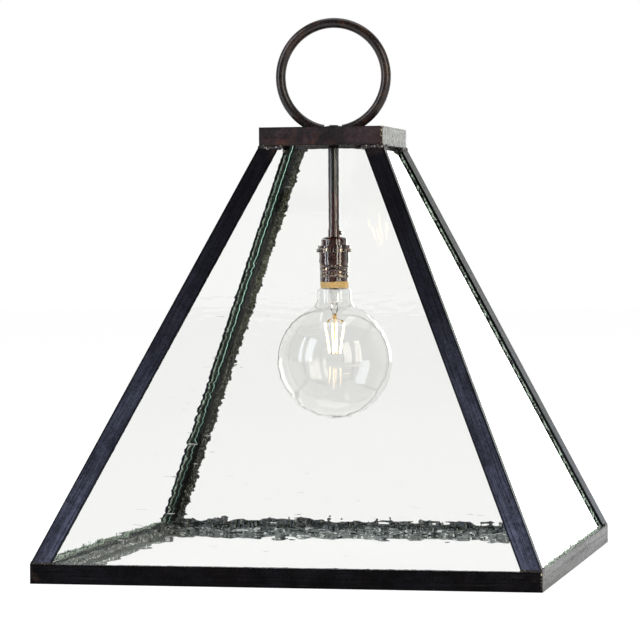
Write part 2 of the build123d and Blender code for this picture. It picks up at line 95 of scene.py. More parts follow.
sky_level, room_level, room_front, room_back = 0.50, 0.08, -0.1, 0.5
world = bpy.data.worlds.new("studio")
world.use_nodes = True
bpy.context.scene.world = world
sky = world.node_tree
towards = add_node(sky, "ShaderNodeTexCoord").outputs["Generated"]
depth = add_node(sky, "ShaderNodeSeparateXYZ", {0: towards}).outputs[1]
room = add_node(sky, "ShaderNodeMapRange", {
    "Value": depth, "From Min": room_front, "From Max": room_back, "To Min": room_level}).outputs[0]
path = add_node(sky, "ShaderNodeLightPath")
glossy = maths(sky, "MULTIPLY", path.outputs["Is Glossy Ray"], maths(sky, "SUBTRACT", room, 1.0))
white = maths(sky, "ADD", glossy, 1.0)
level = add_node(sky, "ShaderNodeMix", {0: seen_as_white(sky), 2: sky_level, 3: white})
sky.links.new(level.outputs[0], sky.nodes["Background"].inputs["Strength"])
sky.nodes["Background"].inputs["Color"].default_value = (1.0, 1.0, 1.0, 1.0)

floor_radius, floor_gap, floor_sides = 14.0, 0.0003, 96
floor_white_share, floor_white = 0.66, 1.26
through_glass_share, through_glass_white = 0.92, 0.985
floor_dim_from, floor_dim_to, floor_dim = 0.1, -0.5, 0.25
floor_grey, floor_roughness = (0.93, 0.93, 0.93, 1.0), 0.9
shape = bmesh.new()
below = Matrix.Translation((0.0, 0.0, -floor_gap))
bmesh.ops.create_circle(shape, cap_ends=True, segments=floor_sides, radius=floor_radius, matrix=below)
floor_mesh = bpy.data.meshes.new("floor")
shape.to_mesh(floor_mesh)
shape.free()
floor = bpy.data.objects.new("floor", floor_mesh)
bpy.context.scene.collection.objects.link(floor)
floor_paint = bpy.data.materials.new("floor_paint")
floor_paint.use_nodes = True
tree = floor_paint.node_tree
spot = add_node(tree, "ShaderNodeTexCoord").outputs["Object"]
towards_back = add_node(tree, "ShaderNodeSeparateXYZ", {0: spot}).outputs[1]
dim = add_node(tree, "ShaderNodeMapRange", {
    "Value": towards_back, "From Min": floor_dim_to, "From Max": floor_dim_from, "To Min": floor_dim - 1.0,
    "To Max": 0.0}).outputs[0]
path = add_node(tree, "ShaderNodeLightPath")
glossy = maths(tree, "MULTIPLY", path.outputs["Is Glossy Ray"], dim)
share = maths(tree, "MULTIPLY", maths(tree, "ADD", seen_as_white(tree), glossy), floor_white_share)
through = path.outputs["Is Transmission Ray"]
share = maths(tree, "MAXIMUM", share, maths(tree, "MULTIPLY", through, through_glass_share))
white = maths(tree, "MULTIPLY_ADD", through, through_glass_white - floor_white, floor_white)
matt = tree.nodes["Principled BSDF"]
matt.inputs["Base Color"].default_value = floor_grey
matt.inputs["Roughness"].default_value = floor_roughness
matt.inputs["Specular IOR Level"].default_value = 0.0
glow = add_node(tree, "ShaderNodeEmission", {"Strength": white})
mixed = add_node(tree, "ShaderNodeMixShader", {0: share, 1: matt.outputs[0], 2: glow.outputs[0]})
under = add_node(tree, "ShaderNodeNewGeometry").outputs["Backfacing"]
nothing = add_node(tree, "ShaderNodeBsdfTransparent").outputs[0]
one_sided = add_node(tree, "ShaderNodeMixShader", {0: under, 1: mixed.outputs[0], 2: nothing})
tree.links.new(one_sided.outputs[0], tree.nodes["Material Output"].inputs["Surface"])
floor_mesh.materials.append(floor_paint)


def soft_box(name, place, aim, width, height, power, colour):
    """A rectangular area lamp that faces a point."""
    data = bpy.data.lights.new(name, "AREA")
    data.shape = "RECTANGLE"
    data.size, data.size_y = width, height
    data.energy, data.color = power, colour
    lamp = bpy.data.objects.new(name, data)
    lamp.location = place
    lamp.rotation_euler = (Vector(aim) - Vector(place)).to_track_quat("-Z", "Y").to_euler()
    bpy.context.scene.collection.objects.link(lamp)


middle = (0.0, 0.0, 0.3)
soft_box("left_box", (-2.4, -2.0, 1.4), middle, 1.9, 2.5, 64.0, (0.84, 0.90, 1.0))
soft_box("right_box", (2.3, -2.0, 1.25), middle, 2.2, 2.3, 64.0, (1.0, 0.94, 0.83))
soft_box("top_box", (0.0, 0.3, 3.0), middle, 2.2, 2.2, 24.0, (1.0, 1.0, 1.0))
soft_box("back_box", (0.95, 3.1, 0.77), (0.2, 0.0, 0.3), 1.3, 1.5, 18.4, (0.95, 1.0, 0.93))


# The base is four lengths of mild steel angle, mitred and welded at the corners with one flange turned in.
# The mill surface was blackened and waxed, and shows the rolled grain, edges darker than the faces and the
# colours of the weld's heat. The inner sides are smeared with the putty that beds the glass.
def vectors(tree, operation, first, second=(0.0, 0.0, 0.0)):
    """One sum of vectors, as a socket: a dot product or a length gives its value."""
    node = add_node(tree, "ShaderNodeVectorMath", {0: first, 1: second}, operation=operation)
    return node.outputs["Value"] if operation in ("DOT_PRODUCT", "LENGTH") else node.outputs["Vector"]


def scaled(tree, vector, amount):
    """A vector times a value, as a socket."""
    return add_node(tree, "ShaderNodeVectorMath", {0: vector, "Scale": amount}, operation="SCALE").outputs[0]


def split(tree, vector):
    """The three parts of a vector, as sockets."""
    return add_node(tree, "ShaderNodeSeparateXYZ", {0: vector}).outputs


def object_place(tree):
    """Where the shaded point is on the piece, in metres."""
    return add_node(tree, "ShaderNodeTexCoord").outputs["Object"]


def noise(tree, vector, scale, detail=3.0, roughness=0.5, distortion=0.0):
    """Fractal noise from 0 to 1, as a socket."""
    inputs = {"Vector": vector, "Scale": scale, "Detail": detail, "Roughness": roughness,
              "Distortion": distortion}
    return add_node(tree, "ShaderNodeTexNoise", inputs).outputs[0]


def ramp(tree, value, low, high, to_low=0.0, to_high=1.0):
    """A value clamped and spread from one range to another, with soft ends, as a socket."""
    inputs = {"Value": value, "From Min": low, "From Max": high, "To Min": to_low, "To Max": to_high}
    return add_node(tree, "ShaderNodeMapRange", inputs, interpolation_type="SMOOTHSTEP").outputs[0]


def blended(tree, first, share, second):
    """A share of one value and the rest of another, as a socket."""
    rest = maths(tree, "MULTIPLY", second, 1.0 - share)
    return maths(tree, "ADD", maths(tree, "MULTIPLY", first, share), rest)


def mix_colour(tree, factor, first, second, blend="MIX"):
    """The blend of two colours, as a socket."""
    inputs = {0: factor, 6: first, 7: second}
    return add_node(tree, "ShaderNodeMix", inputs, data_type="RGBA", blend_type=blend).outputs[2]


def shade(tree, colour, amount):
    """A colour made lighter or darker by a value, as a socket."""
    grey = add_node(tree, "ShaderNodeCombineColor", {0: amount, 1: amount, 2: amount}).outputs[0]
    return mix_colour(tree, 1.0, colour, grey, "MULTIPLY")


def new_group(name, inputs, outputs):
    """An empty shader node group with named sockets, each input's kind told by its first value."""
    group = bpy.data.node_groups.new(name, "ShaderNodeTree")
    kinds = {1: "NodeSocketFloat", 3: "NodeSocketVector", 4: "NodeSocketColor"}
    for key, value in inputs.items():
        kind = kinds[1 if isinstance(value, float) else len(value)]
        group.interface.new_socket(key, in_out="INPUT", socket_type=kind).default_value = value
    for key, kind in outputs.items():
        group.interface.new_socket(key, in_out="OUTPUT", socket_type="NodeSocket" + kind)
    return group, add_node(group, "NodeGroupInput").outputs, add_node(group, "NodeGroupOutput").inputs


surface = {"Colour": "Color", "Roughness": "Float", "Height": "Float"}
steel, given, made = new_group(
    "blackened_steel",
    {"Black": (0.01, 0.01, 0.014, 1.0), "Bloom": (0.03, 0.03, 0.045, 1.0), "Rust": (0.06, 0.02, 0.01, 1.0),
     "Bare": (0.46, 0.38, 0.26, 1.0), "Along": (1.0, 0.0, 0.0), "Bloom Amount": 0.6, "Rust Amount": 0.2,
     "Grain": 1.0, "Pits": 0.3, "Edge": 0.0, "Seam": 0.0, "Gloss": 0.35, "Patchiness": 1.0},
    surface,
)
grain_scale, wide_grain_scale, scuff_scale = 900.0, 190.0, 1500.0
cloud_scale, mottle_scale, speck_scale = 26.0, 115.0, 420.0
rust_scale, pit_scale, bare_scale = 34.0, 480.0, 520.0
grain_stretch, middle_patch, scuff_grey = 0.985, 0.51, (0.16, 0.16, 0.17, 1.0)
place = object_place(steel)
one_corner = vectors(steel, "ABSOLUTE", place)
lengthwise = vectors(steel, "DOT_PRODUCT", one_corner, given["Along"])
lengthwise = scaled(steel, given["Along"], lengthwise)
grain_place = vectors(steel, "SUBTRACT", one_corner, scaled(steel, lengthwise, grain_stretch))
grain = noise(steel, grain_place, grain_scale, 4.0, 0.65)
wide_grain = noise(steel, grain_place, wide_grain_scale, 2.0, 0.5)
scuff = ramp(steel, noise(steel, grain_place, scuff_scale, 2.0, 0.5, 0.4), 0.69, 0.76)
cloud = noise(steel, place, cloud_scale, 5.0, 0.62, 0.6)
mottle = noise(steel, place, mottle_scale, 5.0, 0.7, 0.3)
speck = noise(steel, place, speck_scale, 3.0, 0.6)
patches = maths(steel, "SUBTRACT", blended(steel, cloud, 0.6, mottle), middle_patch)
patches = maths(steel, "MULTIPLY_ADD", patches, given["Patchiness"], middle_patch)
bloom_mask = maths(steel, "MULTIPLY", ramp(steel, patches, 0.42, 0.60), given["Bloom Amount"])
rust_place = vectors(steel, "ADD", place, (3.1, 1.7, 0.4))
rust_cloud = noise(steel, rust_place, rust_scale, 6.0, 0.72, 0.9)
rust_mask = maths(steel, "MULTIPLY", ramp(steel, rust_cloud, 0.46, 0.66), given["Rust Amount"])
tone = mix_colour(steel, bloom_mask, given["Black"], given["Bloom"])
tone = mix_colour(steel, rust_mask, tone, given["Rust"])
streak = maths(steel, "MULTIPLY", maths(steel, "SUBTRACT", ramp(steel, grain, 0.35, 0.68, 0.66, 1.38), 1.0),
               given["Grain"])
speckle = ramp(steel, speck, 0.38, 0.66, -0.22, 0.22)
tone = shade(steel, tone, maths(steel, "ADD", maths(steel, "ADD", streak, 1.0), speckle))
scuffed = maths(steel, "MULTIPLY", scuff, maths(steel, "MULTIPLY", given["Grain"], 0.10))
tone = mix_colour(steel, scuffed, tone, scuff_grey)
tone = shade(steel, tone, maths(steel, "SUBTRACT", 1.0, maths(steel, "MULTIPLY", given["Edge"], 0.75)))
pits = ramp(steel, noise(steel, place, pit_scale, 3.0, 0.6, 0.6), 0.57, 0.63)
pits = maths(steel, "MULTIPLY", pits, given["Pits"])
bare = ramp(steel, noise(steel, place, bare_scale, 2.0), 0.54, 0.62)
bare = maths(steel, "MULTIPLY", given["Seam"], bare)
steel.links.new(mix_colour(steel, bare, tone, given["Bare"]), made["Colour"])
worn = ramp(steel, blended(steel, wide_grain, 0.5, speck), 0.3, 0.7, 0.0, 0.2)
worn = maths(steel, "ADD", worn, maths(steel, "MULTIPLY", pits, 0.7))
steel.links.new(maths(steel, "ADD", worn, given["Gloss"]), made["Roughness"])
rough = maths(steel, "ADD", maths(steel, "MULTIPLY", grain, maths(steel, "MULTIPLY", given["Grain"], 0.5)),
              maths(steel, "MULTIPLY", mottle, 1.6))
rough = maths(steel, "SUBTRACT", maths(steel, "ADD", rough, maths(steel, "MULTIPLY", speck, 0.4)), pits)
steel.links.new(rough, made["Height"])


def add_group(tree, group, inputs=()):
    """A node group placed in a material, as its outputs."""
    return add_node(tree, "ShaderNodeGroup", inputs, node_tree=group).outputs


def new_material(name, **sockets):
    """A Principled material with its plain values on the shader's own sockets."""
    paint = bpy.data.materials.new(name)
    paint.use_nodes = True
    shader = paint.node_tree.nodes["Principled BSDF"]
    for key, value in sockets.items():
        shader.inputs[key.replace("_", " ").title().replace("Ior", "IOR")].default_value = value
    return paint, paint.node_tree, shader


def relief(tree, shader, height, depth):
    """Gives the surface a relief, in which a height of 1 is a real depth in metres."""
    bump = add_node(tree, "ShaderNodeBump", {"Height": height, "Distance": depth})
    tree.links.new(bump.outputs[0], shader.inputs["Normal"])


def wear(tree, shader, look, depth):
    """Feeds a surface group's colour, roughness and height to the shader."""
    tree.links.new(look["Colour"], shader.inputs["Base Color"])
    tree.links.new(look["Roughness"], shader.inputs["Roughness"])
    relief(tree, shader, look["Height"], depth)


def dress(paint, *names):
    """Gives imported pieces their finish."""
    for name in names:
        nodes[name].data.materials.clear()
        nodes[name].data.materials.append(paint)


def near(tree, value, middle, half, soft):
    """1 within half of a middle value, fading over a soft width, as a socket."""
    return ramp(tree, maths(tree, "ABSOLUTE", maths(tree, "SUBTRACT", value, middle)), half + soft, half)


def corner_seam(tree, place, half_side, width):
    """The strip ground bare along the right edge of the front face, and the same at the opposite corner."""
    x, y, _ = split(tree, place)
    least = maths(tree, "MINIMUM", maths(tree, "ABSOLUTE", x), maths(tree, "ABSOLUTE", y))
    opposite = maths(tree, "LESS_THAN", maths(tree, "MULTIPLY", x, y), 0.0)
    strip = near(tree, least, half_side - 1.2 * width, width / 2, width / 3)
    return maths(tree, "MULTIPLY", strip, opposite), least


base_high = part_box("base_bar_front")[1]
half_base, bar_top = base_high.x, base_high.z
bar_black, bar_bloom, heat_brown = (0.0014, 0.0012, 0.0017), (0.0062, 0.0056, 0.0082), (0.030, 0.019, 0.015)
edge_width, bar_seam_width, weld_heat_reach, bar_relief = 0.0010, 0.0010, 0.028, 0.00005
smear_dark, smear_pale, smear_speck = (0.024, 0.028, 0.028), (0.180, 0.205, 0.205), (0.72, 0.74, 0.73)
smear_scale, smear_speck_scale, smear_share, smear_height = 260.0, 640.0, 0.85, 14.0
bar_ways = (((1.0, 0.0, 0.0), 0.05, ("front", "back")), ((0.0, 1.0, 0.0), 0.22, ("left", "right")))
for along, waxed, sides in bar_ways:
    bar_steel, tree, shader = new_material("base_bar_steel_" + sides[0], specular_ior_level=waxed)
    spot = object_place(tree)
    seam, least = corner_seam(tree, spot, half_base, bar_seam_width)
    height = maths(tree, "ABSOLUTE", maths(tree, "SUBTRACT", split(tree, spot)[2], bar_top / 2))
    edge = ramp(tree, height, bar_top / 2 - 2 * edge_width, bar_top / 2 - edge_width / 3)
    heat = ramp(tree, least, half_base - weld_heat_reach, half_base, 0.05, 0.5)
    look = add_group(tree, steel, {
        "Black": (*bar_black, 1.0), "Bloom": (*bar_bloom, 1.0), "Rust": (*heat_brown, 1.0), "Along": along,
        "Bloom Amount": 0.55, "Rust Amount": heat, "Grain": 1.3 + along[1], "Pits": 0.5 + along[1] / 2,
        "Edge": edge, "Seam": seam, "Gloss": 0.2})
    x, y, _ = split(tree, vectors(tree, "ABSOLUTE", spot))
    inside = maths(tree, "LESS_THAN", maths(tree, "MAXIMUM", x, y), half_base - edge_width)
    smear_place = vectors(tree, "MULTIPLY", spot, (1.0 - 0.6 * along[0], 1.0 - 0.75 * along[1], 1.0))
    smeared = noise(tree, smear_place, smear_scale, 3.0, 0.6)
    smear = mix_colour(tree, ramp(tree, smeared, 0.42, 0.56), (*smear_dark, 1.0), (*smear_pale, 1.0))
    specks = ramp(tree, noise(tree, smear_place, smear_speck_scale, 2.0, 0.6), 0.57, 0.63)
    smear = mix_colour(tree, specks, smear, (*smear_speck, 1.0))
    rough_inside = maths(tree, "MULTIPLY", inside, ramp(tree, smeared, 0.40, 0.60, 0.25, 0.7))
    raised = maths(tree, "MULTIPLY", inside, smeared)
    wear(tree, shader, {
        "Colour": mix_colour(tree, maths(tree, "MULTIPLY", inside, smear_share), look["Colour"], smear),
        "Roughness": maths(tree, "MAXIMUM", look["Roughness"], rough_inside),
        "Height": maths(tree, "MULTIPLY_ADD", raised, smear_height, look["Height"])}, bar_relief)
    dress(bar_steel, *(f"base_bar_{side}" for side in sides))


# Four posts of the same angle stand on the mitred corners and lean in to the cap, each leg turned a little
# inwards to lie along its pane. They were rubbed along their length, which left a blue cast between darker
# edges, and they are welded at both ends.
cap_low, cap_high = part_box("cap_band_front")
half_cap = cap_high.x
post_foot_z, post_head_z = bar_top, cap_low.z
post_foot = Vector((half_base, half_base, post_foot_z))
post_along = (Vector((half_cap, half_cap, post_head_z)) - post_foot).normalized()
post_leg, post_edge, post_relief = 0.020, 2.4 * edge_width, 0.00003
rubbed_past_foot, heat_far, heat_near = 0.05, 0.020, 0.004
post_black, post_bloom = (0.0022, 0.0020, 0.0028), (0.094, 0.102, 0.160)
post_steel, tree, shader = new_material("corner_post_steel", specular_ior_level=0.05)
spot = object_place(tree)
from_foot = vectors(tree, "SUBTRACT", vectors(tree, "ABSOLUTE", spot), tuple(post_foot))
up_post = vectors(tree, "DOT_PRODUCT", from_foot, tuple(post_along))
across = vectors(tree, "SUBTRACT", from_foot, scaled(tree, tuple(post_along), up_post))
across = vectors(tree, "LENGTH", across)
edge = maths(tree, "MAXIMUM", ramp(tree, across, post_leg - post_edge, post_leg - edge_width),
             ramp(tree, across, post_edge, edge_width))
post_z = split(tree, spot)[2]
handled = ramp(tree, post_z, post_head_z, post_foot_z - rubbed_past_foot, 0.12, 1.0)
handled = maths(tree, "POWER", handled, 1.6)
heat = maths(tree, "MAXIMUM", ramp(tree, post_z, post_foot_z + heat_far, post_foot_z + heat_near),
             ramp(tree, post_z, post_head_z - heat_far, post_head_z - heat_near))
look = add_group(tree, steel, {
    "Black": (*post_black, 1.0), "Bloom": (*post_bloom, 1.0), "Rust": (*heat_brown, 1.0),
    "Along": tuple(post_along), "Bloom Amount": handled, "Rust Amount": maths(tree, "MULTIPLY", heat, 0.4),
    "Grain": 1.3, "Edge": edge, "Gloss": 0.36, "Patchiness": 0.22})
wear(tree, shader, look, post_relief)
corners = {"back_right": (1, 1), "back_left": (-1, 1), "front_left": (-1, -1), "front_right": (1, -1)}
dress(post_steel, *(f"corner_post_{corner}" for corner in corners))


# The cap is four mitred flat bars welded round a plate. It took the most heat, so its black turned brown and
# purple in patches, and two opposite corners were ground bare.
cap_top = cap_high.z
cap_seam_width, corner_line_far, corner_line_near, cap_relief = 0.0012, 0.0011, 0.0004, 0.00022
cap_black, cap_bloom, cap_rust = (0.0065, 0.0040, 0.0050), (0.030, 0.017, 0.021), (0.072, 0.026, 0.017)
cap_steel, tree, shader = new_material("cap_steel", specular_ior_level=0.26)
spot = object_place(tree)
seam, least = corner_seam(tree, spot, half_cap, cap_seam_width)
half_band, band_middle = (cap_top - post_head_z) / 2, (post_head_z + cap_top) / 2
cap_height = maths(tree, "ABSOLUTE", maths(tree, "SUBTRACT", split(tree, spot)[2], band_middle))
edge = ramp(tree, cap_height, half_band - 1.8 * edge_width, half_band - edge_width / 3)
corner_line = ramp(tree, least, half_cap - corner_line_far, half_cap - corner_line_near)
look = add_group(tree, steel, {
    "Black": (*cap_black, 1.0), "Bloom": (*cap_bloom, 1.0), "Rust": (*cap_rust, 1.0), "Bloom Amount": 0.85,
    "Rust Amount": 0.5, "Grain": 0.12, "Pits": 1.0, "Edge": maths(tree, "MAXIMUM", edge, corner_line),
    "Seam": seam, "Gloss": 0.30})
wear(tree, shader, look, cap_relief)
dress(cap_steel, "cap_plate", *(f"cap_band_{side}" for side in ("front", "back", "left", "right")))


# The hanging ring is one round bar bent to a hoop, cut level at its foot and welded to the cap.
# Its bronze-black was burnished, so it takes a cool light on one side and a warm one on the other.
ring_black, ring_bloom, ring_rust = (0.0055, 0.0038, 0.0032), (0.015, 0.012, 0.014), (0.060, 0.024, 0.012)
ring_relief = 0.00009
ring_steel, tree, shader = new_material("ring_steel", specular_ior_level=0.38)
look = add_group(tree, steel, {
    "Black": (*ring_black, 1.0), "Bloom": (*ring_bloom, 1.0), "Rust": (*ring_rust, 1.0),
    "Along": (0.0, 1.0, 0.0), "Bloom Amount": 0.7, "Rust Amount": 0.45, "Grain": 0.1, "Gloss": 0.10})
wear(tree, shader, look, ring_relief)
dress(ring_steel, "ring")


# Short beads of weld metal join the posts to the base and the cap, and the ring to the cap. Each is a row of
# drops that froze over one another. Those at the base were ground flush with the bars.
def new_piece(name, shape, body, slot, *paints):
    """A mesh piece in place, with its finishes and its body; its slot argument is not used."""
    mesh = bpy.data.meshes.new(name)
    shape.to_mesh(mesh)
    shape.free()
    for paint in paints:
        mesh.materials.append(paint)
    piece = bpy.data.objects.new(name, mesh)
    bpy.context.scene.collection.objects.link(piece)
    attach(piece, body)
    return piece


drops = random.Random(11)
drop_step, drop_drift, drop_least, drop_most = 0.9, 0.3, 0.72, 1.15
weld_voxel = 0.00042


def weld_bead(name, runs, radius, slot):
    """Drops of weld metal along straight runs, melted together and held inside the frame's outer faces."""
    shape = bmesh.new()
    for start, end in runs:
        start, end = Vector(start), Vector(end)
        count = round((end - start).length / (drop_step * radius))
        for index in range(count + 1):
            drift = Vector([drops.uniform(-drop_drift, drop_drift) * radius for _ in range(3)])
            size = radius * drops.uniform(drop_least, drop_most)
            spot = Matrix.Translation(start.lerp(end, index / count) + drift)
            bmesh.ops.create_icosphere(shape, subdivisions=2, radius=size, matrix=spot)
    for vert in shape.verts:
        vert.co.x = min(max(vert.co.x, weld_voxel - half_base), half_base - weld_voxel)
        vert.co.y = min(max(vert.co.y, weld_voxel - half_base), half_base - weld_voxel)
    piece = new_piece(name, shape, "root", slot, weld_metal)
    melt = piece.modifiers.new("melt", "REMESH")
    melt.mode, melt.voxel_size, melt.use_smooth_shade = "VOXEL", weld_voxel, True


burnt_dark, burnt_pale, ground_bright = (0.004, 0.0035, 0.004), (0.016, 0.011, 0.010), (0.34, 0.32, 0.30)
bright_scale, burnt_scale, weld_rough_scale, weld_relief = 620.0, 160.0, 700.0, 0.0003
weld_metal, tree, shader = new_material("weld_metal", specular_ior_level=0.35)
spot = object_place(tree)
bright = ramp(tree, noise(tree, spot, bright_scale, 2.0, 0.5), 0.60, 0.66)
burnt = mix_colour(tree, noise(tree, spot, burnt_scale, 3.0), (*burnt_dark, 1.0), (*burnt_pale, 1.0))
tree.links.new(mix_colour(tree, bright, burnt, (*ground_bright, 1.0)), shader.inputs["Base Color"])
tree.links.new(ramp(tree, bright, 0.0, 1.0, 0.45, 0.2), shader.inputs["Roughness"])
relief(tree, shader, noise(tree, spot, weld_rough_scale, 2.0), weld_relief)
weld_run = 0.0205
post_welds = (("foot", half_base, bar_top, 0.0012, 0.0008, 0.0017, "frame_steel"),
              ("head", half_cap, post_head_z, 0.0014, -0.0020, 0.0028, "cap_steel"))
for corner, (x, y) in corners.items():
    for end, half_side, z, inset, lift, radius, slot in post_welds:
        start = Vector((x * half_side, y * half_side, z)) + Vector((-x, -y, 0.0)) * inset
        start = start + Vector((0, 0, lift))
        ways = Vector((-x * weld_run, 0, 0)), Vector((0, -y * weld_run, 0))
        weld_bead(f"weld_{end}_{corner}", [(start, start + way) for way in ways], radius, slot)
ring_foot_inner, ring_foot_outer, ring_foot_side, ring_weld = 0.0125, 0.0305, 0.0050, 0.0013
for side, x in (("left", -1), ("right", 1)):
    inner, outer = x * ring_foot_inner, x * ring_foot_outer
    runs = [((inner, y, cap_top), (outer, y / 2, cap_top)) for y in (-ring_foot_side, ring_foot_side)]
    weld_bead(f"weld_ring_{side}", runs, ring_weld, "ring_steel")


# Four panes of 3 mm rolled glass slide down behind the posts on to the base bars. The glass is clear, with a
# ripple that breaks up what lies far behind it. Its cut edges, rubbed with a stone, have the green of the
# metal in it. Their faces are painted nearly black, a painted shade of the gap between panes, and their outer
# arrises carry a painted glow.
mottled, given, made = new_group(
    "mottled_finish",
    {"First": (0.1, 0.1, 0.1, 1.0), "Second": (0.2, 0.2, 0.2, 1.0), "Scale": 300.0, "Low": 0.3, "High": 0.5},
    surface,
)
place = object_place(mottled)
fine_scale = maths(mottled, "MULTIPLY", given["Scale"], 4.3)
coarse = noise(mottled, place, given["Scale"], 4.0, 0.62, 0.4)
patches = blended(mottled, coarse, 0.65, noise(mottled, place, fine_scale, 2.0))
spread = ramp(mottled, patches, 0.38, 0.62)
mottled.links.new(mix_colour(mottled, spread, given["First"], given["Second"]), made["Colour"])
span = maths(mottled, "SUBTRACT", given["High"], given["Low"])
roughness = maths(mottled, "ADD", given["Low"], maths(mottled, "MULTIPLY", spread, span))
mottled.links.new(roughness, made["Roughness"])
mottled.links.new(patches, made["Height"])


def mottled_paint(name, first, second, scale, low, high, depth, **sockets):
    """A finish of two close colours in fine patches, with its roughness and relief following them."""
    paint, tree, shader = new_material(name, **sockets)
    look = add_group(tree, mottled, {
        "First": (*first, 1.0), "Second": (*second, 1.0), "Scale": scale, "Low": low, "High": high})
    wear(tree, shader, look, depth)
    return paint


def pass_through(tree, shader, share, colour):
    """Lets a share of the rays go straight through the glass, tinted by a colour at each face."""
    clear = add_node(tree, "ShaderNodeBsdfTransparent", {"Color": (*colour, 1.0)})
    mixed = add_node(tree, "ShaderNodeMixShader", {0: share, 1: shader.outputs[0], 2: clear.outputs[0]})
    tree.links.new(mixed.outputs[0], tree.nodes["Material Output"].inputs["Surface"])


pane_tints, pane_tint_scale = ((0.970, 0.973, 0.962, 1.0), (0.980, 0.981, 0.972, 1.0)), 9.0
ripple_scale, seed_scale, seed_height = 175.0, 330.0, 0.8
edgeways_from, edgeways_to = 0.45, 0.72


def glass_paint(name, stretch, ripple_depth, edgeways=0.0, clearness=(0.960, 0.964, 0.956)):
    """Rippled clear glass, its ripple drawn out along the pane. Edgeways says how plainly it is seen through
    at a grazing angle, and clearness is what each face lets by in such a view and in the pane's shadow."""
    paint, tree, shader = new_material(name, roughness=0.0, ior=1.5, transmission_weight=1.0,
                                       specular_tint=(0.5, 0.5, 0.5, 1.0))
    spot = vectors(tree, "MULTIPLY", object_place(tree), stretch)
    tint = mix_colour(tree, noise(tree, spot, pane_tint_scale, 2.0), *pane_tints)
    tree.links.new(tint, shader.inputs["Base Color"])
    ripple = noise(tree, spot, ripple_scale, 0.5, 0.45)
    seeds = noise(tree, vectors(tree, "MULTIPLY", spot, stretch), seed_scale, 1.0)
    seeds = maths(tree, "MULTIPLY", ramp(tree, seeds, 0.765, 0.80), seed_height)
    relief(tree, shader, maths(tree, "ADD", ripple, seeds), ripple_depth)
    facing = add_node(tree, "ShaderNodeLayerWeight", {"Blend": 0.5}).outputs["Facing"]
    grazing = ramp(tree, facing, edgeways_from, edgeways_to, 0.0, edgeways)
    shadow = add_node(tree, "ShaderNodeLightPath").outputs["Is Shadow Ray"]
    pass_through(tree, shader, maths(tree, "MAXIMUM", shadow, grazing), clearness)
    return paint


pane_arris, edge_relief = 0.0008, 0.0001
glow_foot, glow_head, glow_low, glow_high = (0.10, 0.17, 0.13, 1.0), (0.50, 0.80, 0.66, 1.0), 0.06, 0.28
# The edge faces are dark green glass painted nearly black, a painted shade in the gap between the panes.
edge_glass_painted_shade = mottled_paint("pane_edge_painted_shade", (0.003, 0.006, 0.005), (0.016, 0.030, 0.022), 260.0, 0.12, 0.4,
                           edge_relief, transmission_weight=0.2)
# The outer arrises glow green, a painted glow that grows brighter up the pane and stands in for light piped
# along the glass.
arris_painted_glow = mottled_paint("pane_arris_painted_glow", (0.30, 0.55, 0.45), (0.60, 0.85, 0.76), 340.0, 0.2, 0.4,
                            edge_relief, emission_strength=0.9)
tree = arris_painted_glow.node_tree
painted_glow_rise = ramp(tree, split(tree, object_place(tree))[2], glow_low, glow_high)
tree.links.new(mix_colour(tree, painted_glow_rise, glow_foot, glow_head),
               tree.nodes["Principled BSDF"].inputs["Emission Color"])
across_x, across_y = (0.34, 1.0, 1.0), (1.0, 0.34, 1.0)
pane_glass = {"front": glass_paint("pane_glass_front", across_x, 0.00009),
              "back": glass_paint("pane_glass_back", across_x, 0.00004),
              "left": glass_paint("pane_glass_left", across_y, 0.00003, 1.0, (0.992, 0.994, 0.990)),
              "right": glass_paint("pane_glass_right", across_y, 0.00003)}
for side, glass in pane_glass.items():
    shape = bmesh.new()
    shape.from_mesh(nodes[f"glass_pane_{side}"].data)
    bmesh.ops.remove_doubles(shape, verts=shape.verts, dist=0.00001)
    bmesh.ops.dissolve_limit(shape, angle_limit=radians(1.0), verts=shape.verts, edges=shape.edges)
    broad = max(face.calc_area() for face in shape.faces) / 2
    for face in shape.faces:
        face.material_index = 0 if face.calc_area() > broad else 1
    faces = [face for face in shape.faces if face.material_index == 0]
    inner = min(faces, key=lambda face: face.normal.z)
    inner_spot, inward = inner.calc_center_median(), inner.normal.copy()
    bmesh.ops.bevel(shape, geom=shape.edges, offset=pane_arris, affect="EDGES", segments=2, profile=0.5,
                    material=2)
    bmesh.ops.recalc_face_normals(shape, faces=shape.faces)
    for face in shape.faces:
        spot = face.calc_center_median()
        deep = (inner_spot - spot).dot(inward) > pane_arris
        if face.material_index == 2 and (deep or spot.z < bar_top or side in ("front", "back")):
            face.material_index = 1
    pane = new_piece(f"pane_{side}", shape, "root", "pane_glass", glass, edge_glass_painted_shade, arris_painted_glow)
    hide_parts(f"glass_pane_{side}")


# A dark putty bonds the panes to the posts and the base. It trapped air as it was pressed out, and the
# bubbles show as pale specks through the glass. Beside each post's corner it is painted black, a painted
# shade, and on the side panes it is painted pale, a painted reflection of the glass seen edge-on. Four bent
# steel tabs under the cap hold the panes at the top.
rise, run = post_head_z - post_foot_z, half_base - half_cap
bubble_scale, crumb_scale, putty_relief = 720.0, 400.0, 0.0003
putty_top_z, putty_deep_z, putty_foot_far, putty_foot_near = 0.32, 0.10, 0.016, 0.008
# This black, and how far it reaches out of and into the corner, paint the shade in the corner behind each
# post.
corner_shadow_black, corner_shadow_out, corner_shadow_in = (0.0015, 0.0018, 0.0015, 1.0), 0.0012, 0.0006


